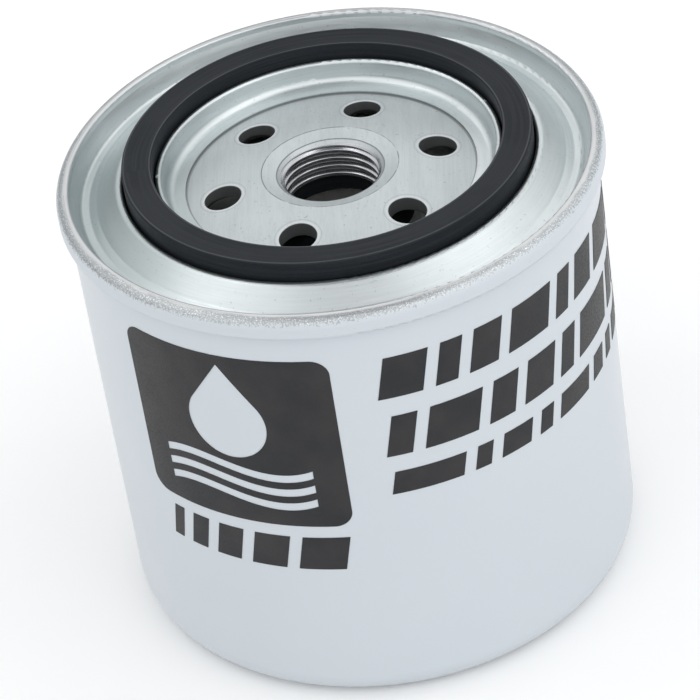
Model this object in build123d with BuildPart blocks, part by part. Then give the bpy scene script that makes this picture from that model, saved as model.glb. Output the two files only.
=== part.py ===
from build123d import *
from math import cos, degrees, radians, sin, sqrt, tan
import os

# Spin-on fuel water separator, standing on its closed end with the threaded end up.
# Millimetres. The origin is the centre of the standing ring, and +Z runs up through the stud thread.
# Widths across the lid are counted outwards from the gasket to the can, and inwards from it to the flange.

# Gasket
gasket_inner_diameter = 60.0
gasket_width = 5.1
gasket_height = 6.75
gasket_outer_round = 0.3
gasket_inner_round = 0.25
gasket_base_round = 0.7

# Seaming lid, measured on its upper face
lid_sheet = 0.5
groove_clearance = 0.3
groove_corner_radius = 0.7
land_top_width = 1.1
land_shoulder_radius = 1.0
land_slope_width = 3.77
land_rise = 3.6
land_step_width = 1.4
land_step_rise = 0.7
countersink_width = 1.4
countersink_depth = 4.1
countersink_radius = 0.8
chuck_wall_lean = 1.5
upstand_width = 1.12
upstand_rise = 4.0
upstand_slope_width = 0.35
flange_width = 3.13
flange_fillet_radius = 1.4
stake_count = 9
stake_phase = 17.0
stake_radius = 0.45
stake_depth = 0.25

# Can and double seam
can_height = 83.8
can_sheet = 0.4
seam_film = 0.03
seam_length = 4.0
seam_inner_round = 0.55
hook_headroom = 0.65
hook_overlap = 1.2
fold_flat = 0.02
corner_radius = 5.0
standing_ring_width = 8.0
panel_step_width = 3.0
panel_step_radius = 1.2
panel_height = 2.0

# Base plate, stud thread and inlet ports
plate_sheet = 2.5
plate_edge_margin = 0.3
plate_edge_round = 0.4
thread_major_diameter = 17.46
thread_chamfer = 0.5
collar_wall = 2.0
collar_depth = 6.0
collar_root_radius = 2.0
collar_tip_chamfer = 0.3
lead_in_width = 2.6
lead_in_drop = 0.7
crown_margin = 0.38
crown_rise = 1.93
port_count = 6
port_phase = 8.0
port_inset = 5.77
port_diameter = 6.4
port_edge_round = 0.2

# Element seal
seal_collar_clearance = 0.3
seal_wall = 2.6
seal_sleeve_height = 2.6
seal_bore_margin = 0.5
seal_neck_wall = 2.55
seal_neck_clearance = 0.05
seal_lip_width = 1.0
seal_lip_height = 1.4
seal_round = 1.0

# Filter element
element_clearance = 6.9
cap_sheet = 0.5
cap_skirt_height = 4.0
cap_bend_radius = 1.4
hub_rise = 3.5
hub_margin = 1.5
hub_slope_width = 7.0
hub_bend_radius = 4.0
potting_thickness = 1.0
pleat_count = 42
pleat_tip_width = 1.39
paper_thickness = 0.45
paper_tube_clearance = 0.5
paper_rim_clearance = 1.2
clip_sheet = 0.4
clip_clearance = 0.05
clip_leg = 5.0
clip_end_margin = 4.0
tube_clearance = 1.22
tube_wall = 0.5
tube_hole_diameter = 5.0
tube_hole_columns = 8
tube_hole_rows = 5
tube_end_margin = 9.0
tube_seam_width = 3.0
tube_seam_rise = 0.3

# Leaf spring under the element
spring_height = 9.6
spring_sheet = 0.8
spring_arms = 3
spring_arm_width = 9.0
spring_hole_diameter = 13.0
spring_ring_width = 6.0
spring_arm_reach = 7.5
spring_foot_length = 4.0
spring_foot_curl = 1.0
spring_bend_radius = 3.0
dimple_clearance = 0.5

# Print on the can, measured down from the seam's foot and along the wall
ink_thickness = 0.08
emblem_azimuth = -121.2
emblem_drop = 5.3
emblem_width = 37.6
emblem_height = 35.0
emblem_corner = 3.0
droplet_radius_share = 0.206
droplet_height_share = 0.557
droplet_lift_share = 0.594
ripple_count = 3
ripple_width_share = 0.73
ripple_thickness_share = 0.046
ripple_pitch_share = 0.086
ripple_lift_share = 0.126
ripple_swell_share = 0.031
tally_gap = 2.5
tally_height = 7.0
tally_widths = (2.2, 3.4, 4.8, 6.4, 8.2)
bar_slant = 12.0
bar_gap = 2.2
stripe_azimuth = -87.8
stripe_rows = (
    (6.6, 8.2, (7.6, 4.0, 5.6, 9.2, 3.6, 6.4, 11.0, 4.4, 6.8, 9.0, 4.0, 6.0)),
    (18.6, 8.2, (4.4, 9.6, 5.2, 6.8, 3.8, 12.0, 5.0, 7.4, 3.6, 8.6, 5.4, 6.0)),
    (30.2, 4.6, (12.5, 3.0, 6.2, 3.0, 9.0, 4.2, 3.0, 7.0, 3.0, 10.0, 4.0, 6.0)),
)

# Radii that follow, from the gasket out to the seam and in to the lid's inner edge
gasket_inner_radius = gasket_inner_diameter / 2
gasket_outer_radius = gasket_inner_radius + gasket_width
groove_outer = gasket_outer_radius + groove_clearance
land_shoulder = groove_outer + land_top_width
land_foot = land_shoulder + land_slope_width
countersink_inner = land_foot + land_step_width
countersink_outer = countersink_inner + countersink_width
chuck_radius = countersink_outer + chuck_wall_lean
can_inner_radius = chuck_radius + lid_sheet + seam_film
body_radius = can_inner_radius + can_sheet
cover_hook_radius = body_radius + seam_film
body_hook_radius = cover_hook_radius + lid_sheet + seam_film
seam_radius = body_hook_radius + can_sheet + seam_film + lid_sheet
seam_width = seam_radius - chuck_radius
seam_outer_round = seam_width - seam_inner_round - fold_flat
groove_inner = gasket_inner_radius - groove_clearance
upstand_inner = groove_inner - upstand_width
slope_foot = upstand_inner - upstand_slope_width
flange_edge = slope_foot - flange_width

# Radii that follow, from the thread out to the paper
thread_radius = thread_major_diameter / 2
mouth_radius = thread_radius + thread_chamfer
lead_in_radius = mouth_radius + lead_in_width
collar_radius = thread_radius + collar_wall
seal_bore = thread_radius + seal_bore_margin
seal_neck = seal_bore + seal_neck_wall
seal_lip = seal_neck + seal_lip_width
hub_hole_radius = seal_neck + seal_neck_clearance
tube_inner_radius = seal_lip + tube_clearance
tube_radius = tube_inner_radius + tube_wall
cap_radius = can_inner_radius - element_clearance
cap_inner_radius = cap_radius - cap_sheet
cap_inner_bend = cap_bend_radius - cap_sheet
paper_inner_radius = tube_radius + paper_tube_clearance
paper_outer_radius = cap_inner_radius - paper_rim_clearance

# Heights that follow
seam_foot = can_height - seam_length
lid_floor = can_height - countersink_depth
plate_top = lid_floor - lid_sheet
plate_bottom = plate_top - plate_sheet
collar_tip = plate_top - collar_depth
crown_top = plate_top + crown_rise
mouth_height = crown_top - lead_in_drop
panel_floor = panel_height + can_sheet
element_base = panel_floor + spring_height
lower_potting_base = element_base + cap_sheet
paper_base = lower_potting_base + potting_thickness
hub_top = collar_tip - seal_lip_height
hub_underside = hub_top - cap_sheet
cap_top = hub_top - hub_rise
upper_potting_top = cap_top - cap_sheet
paper_top = upper_potting_top - potting_thickness


def bent_sheet(points, radii, thickness):
    """Section of a bent sheet: one face runs through the points, the other lies a thickness to their left."""
    corners = [Vector(*point) for point in points]
    runs = [(end - start).normalized() for start, end in zip(corners, corners[1:])]
    sides = [Vector(-run.Y, run.X) for run in runs]
    back = [corners[0] + sides[0] * thickness]
    back_radii = []
    for corner, before, after, side, radius in zip(corners[1:], runs, runs[1:], sides, radii):
        to_left = before.X * after.Y > before.Y * after.X
        slide = thickness * tan(radians(before.get_angle(after) / 2))
        back.append(corner + side * thickness - before * (slide if to_left else -slide))
        back_radii.append(max(radius - thickness, 0) if to_left else radius + thickness)
    back.append(corners[-1] + sides[-1] * thickness)
    with BuildSketch() as section:
        with BuildLine():
            front_face = FilletPolyline(*corners, radius=radii)
            back_face = FilletPolyline(*back, radius=back_radii)
            Line(front_face @ 0, back_face @ 0)
            Line(front_face @ 1, back_face @ 1)
        make_face()
    return section.sketch


# The can: a drawn cup whose open edge is folded out and down as the seam's body hook
ring_outer = body_radius - corner_radius
ring_inner = ring_outer - standing_ring_width
panel_radius = ring_inner - panel_step_width
body_fold_radius = (body_hook_radius - body_radius - fold_flat) / 2
body_fold_top = can_height - lid_sheet - seam_film - can_sheet - hook_headroom
body_hook_end = body_fold_top - can_sheet - hook_overlap
can_face = (
    (0, panel_height),
    (panel_radius, panel_height),
    (ring_inner, 0),
    (body_radius, 0),
    (body_radius, body_fold_top),
    (body_hook_radius, body_fold_top),
    (body_hook_radius, body_hook_end),
)
can_radii = (panel_step_radius, panel_step_radius, corner_radius, body_fold_radius, body_fold_radius)
with BuildPart() as can:
    with BuildSketch(Plane.XZ):
        add(bent_sheet(can_face, can_radii, can_sheet))
    revolve(axis=Axis.Z)
can.part.label = "can"

# The seaming lid: cover hook, seam, chuck wall, countersink, land, gasket groove, upstand and flange
cover_fold_radius = (seam_radius - cover_hook_radius - fold_flat) / 2
cover_hook_end = body_fold_top - body_fold_radius
lid_face = (
    (cover_hook_radius, cover_hook_end),
    (cover_hook_radius, seam_foot),
    (seam_radius, seam_foot),
    (seam_radius, can_height),
    (chuck_radius, can_height),
    (chuck_radius, can_height - seam_width / 2),
    (countersink_outer, lid_floor),
    (countersink_inner, lid_floor),
    (land_foot, lid_floor + land_step_rise),
    (land_shoulder, lid_floor + land_rise),
    (groove_outer, lid_floor + land_rise),
    (groove_outer, lid_floor),
    (groove_inner, lid_floor),
    (groove_inner, lid_floor + upstand_rise),
    (upstand_inner, lid_floor + upstand_rise),
    (slope_foot, lid_floor),
    (flange_edge, lid_floor),
)
lid_radii = (
    cover_fold_radius,
    cover_fold_radius,
    seam_outer_round,
    seam_inner_round,
    0,
    countersink_radius,
    countersink_radius,
    land_shoulder_radius,
    land_shoulder_radius,
    land_top_width / 2,
    groove_corner_radius,
    groove_corner_radius,
    upstand_width / 2 - fold_flat,
    upstand_width / 2 - fold_flat,
    flange_fillet_radius,
)
stake_centre = lid_floor + upstand_rise + stake_radius - stake_depth
with BuildPart() as seaming_lid:
    with BuildSketch(Plane.XZ):
        add(bent_sheet(lid_face, lid_radii, lid_sheet))
    revolve(axis=Axis.Z)
    with Locations((0, 0, stake_centre)):
        with PolarLocations(groove_inner, stake_count, start_angle=stake_phase):
            Cylinder(stake_radius, upstand_width, rotation=(0, 90, 0), mode=Mode.SUBTRACT)
seaming_lid.part.label = "seaming_lid"

# The gasket stands in the lid's groove
with BuildPart() as gasket:
    with BuildSketch(Plane.XZ) as gasket_section:
        with Locations((gasket_inner_radius, lid_floor)):
            Rectangle(gasket_width, gasket_height, align=(Align.MIN, Align.MIN))
        fillet(gasket_section.vertices().group_by(Axis.Y)[0], gasket_base_round)
        fillet(gasket_section.vertices().group_by(Axis.Y)[-1].sort_by(Axis.X)[0], gasket_inner_round)
        fillet(gasket_section.vertices().group_by(Axis.Y)[-1].sort_by(Axis.X)[-1], gasket_outer_round)
    revolve(axis=Axis.Z)
gasket.part.label = "gasket"

# The base plate: crowned inside the lid's flange, its centre drawn down into the threaded collar
crown_radius = flange_edge - crown_margin
port_circle_radius = crown_radius - port_inset
plate_radius = countersink_outer - plate_edge_margin
crown_slope = crown_rise / (crown_radius - lead_in_radius)
collar_root = plate_bottom + crown_slope * (crown_radius - collar_radius)
plate_outline = (
    (collar_radius, collar_tip),
    (thread_radius, collar_tip),
    (thread_radius, mouth_height - thread_chamfer),
    (mouth_radius, mouth_height),
    (lead_in_radius, crown_top),
    (crown_radius, plate_top),
    (plate_radius, plate_top),
    (plate_radius, plate_bottom),
    (crown_radius, plate_bottom),
    (collar_radius, collar_root),
)
with BuildPart() as base_plate:
    with BuildSketch(Plane.XZ) as plate_section:
        with BuildLine():
            Polyline(*plate_outline, close=True)
        make_face()
        fillet(plate_section.vertices().sort_by_distance((collar_radius, collar_root))[0], collar_root_radius)
        chamfer(plate_section.vertices().group_by(Axis.Y)[0], collar_tip_chamfer)
        fillet(plate_section.vertices().group_by(Axis.X)[-1], plate_edge_round)
    revolve(axis=Axis.Z)
    with BuildSketch(Plane.XY.offset(collar_tip)):
        with PolarLocations(port_circle_radius, port_count, start_angle=port_phase):
            Circle(port_diameter / 2)
    extrude(amount=crown_top - collar_tip, mode=Mode.SUBTRACT)
    port_edges = base_plate.edges(Select.LAST).filter_by(GeomType.LINE, reverse=True)
    fillet(port_edges.filter_by_position(Axis.Z, plate_top, crown_top), port_edge_round)
base_plate.part.label = "base_plate"

# The element seal: a grommet in the hub's hole, whose sleeve stands round the collar
sleeve_inner = collar_radius + seal_collar_clearance
sleeve_outer = sleeve_inner + seal_wall
sleeve_top = collar_tip + seal_sleeve_height
seal_foot = hub_underside - seal_lip_height
seal_outline = (
    (seal_bore, seal_foot),
    (seal_bore, collar_tip),
    (sleeve_inner, collar_tip),
    (sleeve_inner, sleeve_top),
    (sleeve_outer, sleeve_top),
    (sleeve_outer, hub_top),
    (seal_neck, hub_top),
    (seal_neck, hub_underside),
    (seal_lip, hub_underside),
    (seal_lip, seal_foot),
)
with BuildPart() as element_seal:
    with BuildSketch(Plane.XZ) as seal_section:
        with BuildLine():
            Polyline(*seal_outline, close=True)
        make_face()
        fillet(seal_section.vertices().group_by(Axis.Y)[-1], seal_round)
    revolve(axis=Axis.Z)
element_seal.part.label = "element_seal"

# The upper end cap: a dished cap whose raised hub carries the seal, drawn along its underside
hub_top_radius = tube_radius + hub_margin
cap_underside = (
    (hub_hole_radius, hub_underside),
    (hub_top_radius, hub_underside),
    (hub_top_radius + hub_slope_width, upper_potting_top),
    (cap_inner_radius, upper_potting_top),
)
hub_radii = (hub_bend_radius, hub_bend_radius)
with BuildPart() as upper_end_cap:
    with BuildSketch(Plane.XZ):
        cap_face = (*cap_underside, (cap_inner_radius, cap_top - cap_skirt_height))
        add(bent_sheet(cap_face, (*hub_radii, cap_inner_bend), cap_sheet))
    revolve(axis=Axis.Z)
upper_end_cap.part.label = "upper_end_cap"

# The upper potting fills the cap outside the tube, down to the ends of the pleats
with BuildPart() as upper_potting:
    with BuildSketch(Plane.XZ):
        with BuildLine():
            bed_face = (*cap_underside, (cap_inner_radius, paper_top))
            bed = FilletPolyline(*bed_face, radius=(*hub_radii, cap_inner_bend))
            Line(bed @ 1, (hub_hole_radius, paper_top))
            Line((hub_hole_radius, paper_top), bed @ 0)
        make_face()
        with Locations((0, paper_top)):
            Rectangle(tube_radius, hub_top - paper_top, align=(Align.MIN, Align.MIN), mode=Mode.SUBTRACT)
    revolve(axis=Axis.Z)
upper_potting.part.label = "upper_potting"

# The lower end cap: a plain dish with a dimple that centres the spring's ring
dimple_radius = spring_hole_diameter / 2 - spring_sheet - dimple_clearance
dish_face = (
    (0, element_base - spring_sheet),
    (dimple_radius, element_base - spring_sheet),
    (dimple_radius + spring_sheet, element_base),
    (cap_radius, element_base),
    (cap_radius, element_base + cap_skirt_height),
)
with BuildPart() as lower_end_cap:
    with BuildSketch(Plane.XZ):
        add(bent_sheet(dish_face, (cap_sheet, cap_sheet, cap_bend_radius), cap_sheet))
    revolve(axis=Axis.Z)
lower_end_cap.part.label = "lower_end_cap"

# The lower potting beds the other ends of the pleats
with BuildPart() as lower_potting:
    with BuildSketch(Plane.XZ) as bed_section:
        with Locations((tube_radius, lower_potting_base)):
            Rectangle(cap_inner_radius - tube_radius, potting_thickness, align=(Align.MIN, Align.MIN))
        fillet(bed_section.vertices().group_by(Axis.Y)[0].sort_by(Axis.X)[-1], cap_inner_bend)
    revolve(axis=Axis.Z)
lower_potting.part.label = "lower_potting"


def pleat_corners(inner, outer, half_width):
    """Corners of one face of the folded paper, four to a pleat, in order round the element."""
    near, far = (inner, -half_width), (outer, -half_width)
    pleat = [Vector(*corner) for corner in (near, far, (outer, half_width), (inner, half_width))]
    turns = [360.0 * index / pleat_count for index in range(pleat_count)]
    return [corner.rotate(Axis.Z, turn) for turn in turns for corner in pleat]


# The pleated paper: one sheet folded into parallel-sided pleats
face_half_width = (pleat_tip_width + paper_thickness) / 2
back_half_width = (pleat_tip_width - paper_thickness) / 2
paper_face = pleat_corners(paper_inner_radius + paper_thickness, paper_outer_radius, face_half_width)
paper_back = pleat_corners(paper_inner_radius, paper_outer_radius - paper_thickness, back_half_width)
with BuildPart() as pleated_paper:
    with BuildSketch(Plane.XY.offset(paper_base)):
        with BuildLine():
            Polyline(*paper_face, close=True)
        make_face()
        with BuildLine():
            Polyline(*paper_back, close=True)
        make_face(mode=Mode.SUBTRACT)
    extrude(amount=paper_top - paper_base)
pleated_paper.part.label = "pleated_paper"

# The clip that joins the paper's two ends, a channel pressed over one pleat
channel_half_width = face_half_width + clip_clearance
channel_reach = paper_outer_radius + clip_clearance
with BuildPart() as pleat_clip:
    with BuildSketch(Plane.XY.offset(paper_base + clip_end_margin)):
        with Locations((channel_reach + clip_sheet, 0)):
            Rectangle(clip_leg, 2 * (channel_half_width + clip_sheet), align=(Align.MAX, Align.CENTER))
        with Locations((channel_reach, 0)):
            Rectangle(clip_leg, 2 * channel_half_width, align=(Align.MAX, Align.CENTER), mode=Mode.SUBTRACT)
    extrude(amount=paper_top - paper_base - 2 * clip_end_margin)
pleat_clip.part.label = "pleat_clip"

# The perforated centre tube, with the flat ridge of its lock seam inside
tube_length = hub_underside - lower_potting_base
row_pitch = (tube_length - 2 * tube_end_margin) / (tube_hole_rows - 1)
column_turn = 360.0 / tube_hole_columns
with BuildPart() as centre_tube:
    with BuildSketch(Plane.XY.offset(lower_potting_base)):
        Circle(tube_radius)
        Circle(tube_inner_radius, mode=Mode.SUBTRACT)
        with Locations((tube_inner_radius - tube_seam_rise, 0)):
            Rectangle(tube_seam_rise + tube_wall / 2, tube_seam_width, align=(Align.MIN, Align.CENTER))
    extrude(amount=tube_length)
    for row in range(tube_hole_rows):
        row_height = lower_potting_base + tube_end_margin + row * row_pitch
        with Locations((0, 0, row_height)):
            with PolarLocations(tube_radius, tube_hole_columns, start_angle=column_turn / 2):
                Cylinder(tube_hole_diameter / 2, 2 * tube_clearance, rotation=(0, 90, 0), mode=Mode.SUBTRACT)
centre_tube.part.label = "centre_tube"

# The leaf spring: a ring under the element, on bent arms that stand on the can's floor
ring_radius = spring_hole_diameter / 2 + spring_ring_width
foot_start = ring_radius + spring_arm_reach
foot_end = foot_start + spring_foot_length
spring_face = (
    (spring_hole_diameter / 2, element_base - spring_sheet),
    (ring_radius, element_base - spring_sheet),
    (foot_start, panel_floor),
    (foot_end, panel_floor),
    (foot_end + spring_foot_curl, panel_floor + spring_foot_curl),
)
with BuildPart() as element_spring:
    with BuildSketch(Plane.XZ):
        add(bent_sheet(spring_face, (spring_bend_radius, spring_bend_radius, spring_foot_curl), spring_sheet))
    revolve(axis=Axis.Z)
    with BuildSketch(Plane.XY):
        Circle(ring_radius)
        with PolarLocations(0, spring_arms):
            Rectangle(body_radius, spring_arm_width, align=(Align.MIN, Align.CENTER))
    extrude(amount=element_base, mode=Mode.INTERSECT)
element_spring.part.label = "element_spring"


def tangent_plane(azimuth, height):
    """Plane that touches the can's wall at an azimuth, with its y axis up and its normal outwards."""
    outward = Vector(cos(radians(azimuth)), sin(radians(azimuth)), 0)
    across = Vector(-outward.Y, outward.X, 0)
    return Plane(origin=outward * body_radius + Vector(0, 0, height), x_dir=across, z_dir=outward)


def ink_shell(base, height):
    """Film of ink all round the can's wall, from which a printed outline is cut."""
    with BuildPart() as shell:
        with BuildSketch(Plane.XY.offset(base)):
            Circle(body_radius + ink_thickness)
            Circle(body_radius, mode=Mode.SUBTRACT)
        extrude(amount=height)
    return shell.part


def bar_row(azimuth, base, height, widths):
    """Ink of one row of bars that lean to the right, laid along the wall from an azimuth."""
    lean = height * tan(radians(bar_slant))
    run = 0.0
    with BuildPart() as row:
        for width in widths:
            middle = azimuth + degrees((run + width / 2) / body_radius)
            half = width / 2
            with BuildSketch(tangent_plane(middle, base)):
                with BuildLine():
                    Polyline((-half, 0), (half, 0), (half + lean, height), (lean - half, height), close=True)
                make_face()
            extrude(amount=body_radius / 2, both=True)
            run += width + bar_gap
        add(ink_shell(base, height), mode=Mode.INTERSECT)
    return row.part


# The emblem: a rounded panel in which a droplet and the ripples under it are left bare
emblem_base = seam_foot - emblem_drop - emblem_height
droplet_radius = emblem_height * droplet_radius_share
droplet_lift = emblem_height * droplet_lift_share
droplet_reach = emblem_height * droplet_height_share - droplet_radius
flank_width = droplet_radius * sqrt(1 - (droplet_radius / droplet_reach) ** 2)
flank_lift = droplet_lift + droplet_radius**2 / droplet_reach
ripple_quarter = emblem_width * ripple_width_share / 4
ripple_lift = emblem_height * ripple_lift_share
ripple_pitch = emblem_height * ripple_pitch_share
ripple_thickness = emblem_height * ripple_thickness_share
ripple_swell = emblem_height * ripple_swell_share
crests = (
    (-2 * ripple_quarter, 0),
    (-ripple_quarter, ripple_swell),
    (0, 0),
    (ripple_quarter, -ripple_swell),
    (2 * ripple_quarter, 0),
)
with BuildPart() as emblem_print:
    with BuildSketch(tangent_plane(emblem_azimuth, emblem_base)):
        with Locations((0, emblem_height / 2)):
            RectangleRounded(emblem_width, emblem_height, emblem_corner)
        with Locations((0, droplet_lift)):
            Circle(droplet_radius, mode=Mode.SUBTRACT)
        with BuildLine():
            droplet_tip = (0, droplet_lift + droplet_reach)
            Polyline((-flank_width, flank_lift), (flank_width, flank_lift), droplet_tip, close=True)
        make_face(mode=Mode.SUBTRACT)
        for ripple in range(ripple_count):
            trough = ripple_lift + ripple * ripple_pitch
            with BuildLine():
                lower = Spline(*[(along, trough + swell) for along, swell in crests])
                upper = Spline(*[(along, trough + ripple_thickness + swell) for along, swell in crests])
                Line(lower @ 0, upper @ 0)
                Line(lower @ 1, upper @ 1)
            make_face(mode=Mode.SUBTRACT)
    extrude(amount=body_radius / 2, both=True)
    add(ink_shell(emblem_base, emblem_height), mode=Mode.INTERSECT)
emblem_print.part.label = "emblem_print"

# The tally: one row of widening bars under the emblem
tally_span = sum(tally_widths) + bar_gap * (len(tally_widths) - 1)
tally_azimuth = emblem_azimuth - degrees(tally_span / 2 / body_radius)
with BuildPart() as tally_print:
    add(bar_row(tally_azimuth, emblem_base - tally_gap - tally_height, tally_height, tally_widths))
tally_print.part.label = "tally_print"

# The stripes: three rows of bars that run round the can to the right of the emblem
with BuildPart() as stripe_print:
    for row_drop, row_height, row_widths in stripe_rows:
        add(bar_row(stripe_azimuth, seam_foot - row_drop - row_height, row_height, row_widths))
stripe_print.part.label = "stripe_print"

os.makedirs("parts", exist_ok=True)
for piece in (
    can,
    seaming_lid,
    gasket,
    base_plate,
    element_seal,
    upper_end_cap,
    upper_potting,
    pleated_paper,
    pleat_clip,
    centre_tube,
    lower_potting,
    lower_end_cap,
    element_spring,
    emblem_print,
    tally_print,
    stripe_print,
):
    export_step(piece.part, f"parts/{piece.part.label}.step")
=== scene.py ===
"""Studio scene of a spin-on fuel water separator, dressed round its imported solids."""

import logging
import math
from dataclasses import dataclass
from enum import Enum
from typing import Sequence

import bmesh
import bpy
from mathutils import Matrix, Vector


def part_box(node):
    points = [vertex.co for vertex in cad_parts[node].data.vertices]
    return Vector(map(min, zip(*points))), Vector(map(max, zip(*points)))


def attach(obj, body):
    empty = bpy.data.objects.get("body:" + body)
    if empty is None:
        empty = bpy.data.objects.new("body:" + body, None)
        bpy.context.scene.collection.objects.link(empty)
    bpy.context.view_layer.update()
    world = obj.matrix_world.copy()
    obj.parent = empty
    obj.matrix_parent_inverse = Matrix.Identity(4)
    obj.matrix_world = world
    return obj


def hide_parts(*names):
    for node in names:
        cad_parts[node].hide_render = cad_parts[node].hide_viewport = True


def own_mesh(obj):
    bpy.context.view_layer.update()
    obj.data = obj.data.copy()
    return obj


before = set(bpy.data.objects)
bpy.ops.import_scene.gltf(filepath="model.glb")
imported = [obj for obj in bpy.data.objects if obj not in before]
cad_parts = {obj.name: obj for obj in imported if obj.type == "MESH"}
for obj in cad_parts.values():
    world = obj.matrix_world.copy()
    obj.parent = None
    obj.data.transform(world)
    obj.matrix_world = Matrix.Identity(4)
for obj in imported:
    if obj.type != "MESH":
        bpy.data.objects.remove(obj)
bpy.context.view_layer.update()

MM = 0.001
Colour = tuple[float, float, float]
Span = tuple[float, float]
Profile = list[tuple[float, float]]
Tree = bpy.types.NodeTree
Socket = bpy.types.NodeSocket
Sockets = dict[str, Socket]
Level = float | Socket
Paint = Colour | Socket

# The places of a colour mix node's sockets, and the spans that most values of the marks' noises lie in.
MIX_INPUTS, MIX_RESULT = (0, 6, 7), 2
FINE_SPAN: Span = (0.3, 0.7)
STREAK_SPAN: Span = (0.35, 0.65)

log = logging.getLogger("fuel_separator")


class Body(Enum):
    """The rigid bodies that pieces ride on."""

    CANISTER = "canister"
    ELEMENT = "element"


class Lay(Enum):
    """The way that the marks of a metal's making run."""

    STRAIGHT = "straight"
    ROUND = "round"


def rgba(colour: Colour) -> tuple[float, float, float, float]:
    """Gives a colour an alpha of one."""
    return (*colour, 1.0)


def place(tree: Tree, kind: str, inputs: dict | None = None, **settings) -> bpy.types.Node:
    """Adds a node to a tree.

    Args:
        tree: The material's or group's node tree.
        kind: The node's Blender type.
        inputs: Values or sockets for the node's inputs, by name or index.
        **settings: Properties of the node itself.

    Returns:
        The new node.
    """
    node = tree.nodes.new(kind)
    for name, value in settings.items():
        setattr(node, name, value)
    for key, value in (inputs or {}).items():
        if isinstance(value, Socket):
            tree.links.new(value, node.inputs[key])
        else:
            node.inputs[key].default_value = value
    return node


def maths(tree: Tree, operation: str, *values: Level) -> Socket:
    """Adds a Math node that works on numbers or sockets, and gives its result."""
    return place(tree, "ShaderNodeMath", dict(enumerate(values)), operation=operation).outputs[0]


def times(tree: Tree, first: Level, second: Level) -> Socket:
    """Multiplies two numbers or sockets."""
    return maths(tree, "MULTIPLY", first, second)


def ramp(tree: Tree, value: Level, low: Level, high: Level, start: float = 0.0, end: float = 1.0) -> Socket:
    """Maps a value smoothly: the result is the start at and below low, and the end at and above high."""
    inputs = {"Value": value, "From Min": low, "From Max": high, "To Min": start, "To Max": end}
    return place(tree, "ShaderNodeMapRange", inputs, interpolation_type="SMOOTHSTEP").outputs["Result"]


def blend(tree: Tree, factor: Level, first: Paint, second: Paint) -> Socket:
    """Mixes two colours, where the factor is the share of the second."""
    values = (factor, *(paint if isinstance(paint, Socket) else rgba(paint) for paint in (first, second)))
    return place(tree, "ShaderNodeMix", dict(zip(MIX_INPUTS, values)), data_type="RGBA").outputs[MIX_RESULT]


def tint(tree: Tree, mask: Level, share: float, base: Paint, colour: Paint) -> Socket:
    """Lays a colour over a base where the mask is one, as strongly as the share says."""
    return blend(tree, times(tree, mask, share), base, colour)


def open_group(
    name: str, outputs: Sequence[str], vectors: Sequence[str] = (), **floats: float
) -> tuple[Tree, bpy.types.Node, bpy.types.Node]:
    """Starts a node group.

    Args:
        name: The group's name.
        outputs: The names of its float outputs.
        vectors: The names of its vector inputs.
        **floats: The default of each float input, by name.

    Returns:
        The group, its input node and its output node.
    """
    group = bpy.data.node_groups.new(name, "ShaderNodeTree")
    for label in vectors:
        group.interface.new_socket(label, in_out="INPUT", socket_type="NodeSocketVector")
    for label, default in floats.items():
        group.interface.new_socket(label, in_out="INPUT", socket_type="NodeSocketFloat").default_value = default
    for label in outputs:
        group.interface.new_socket(label, in_out="OUTPUT", socket_type="NodeSocketFloat")
    return group, group.nodes.new("NodeGroupInput"), group.nodes.new("NodeGroupOutput")


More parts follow.
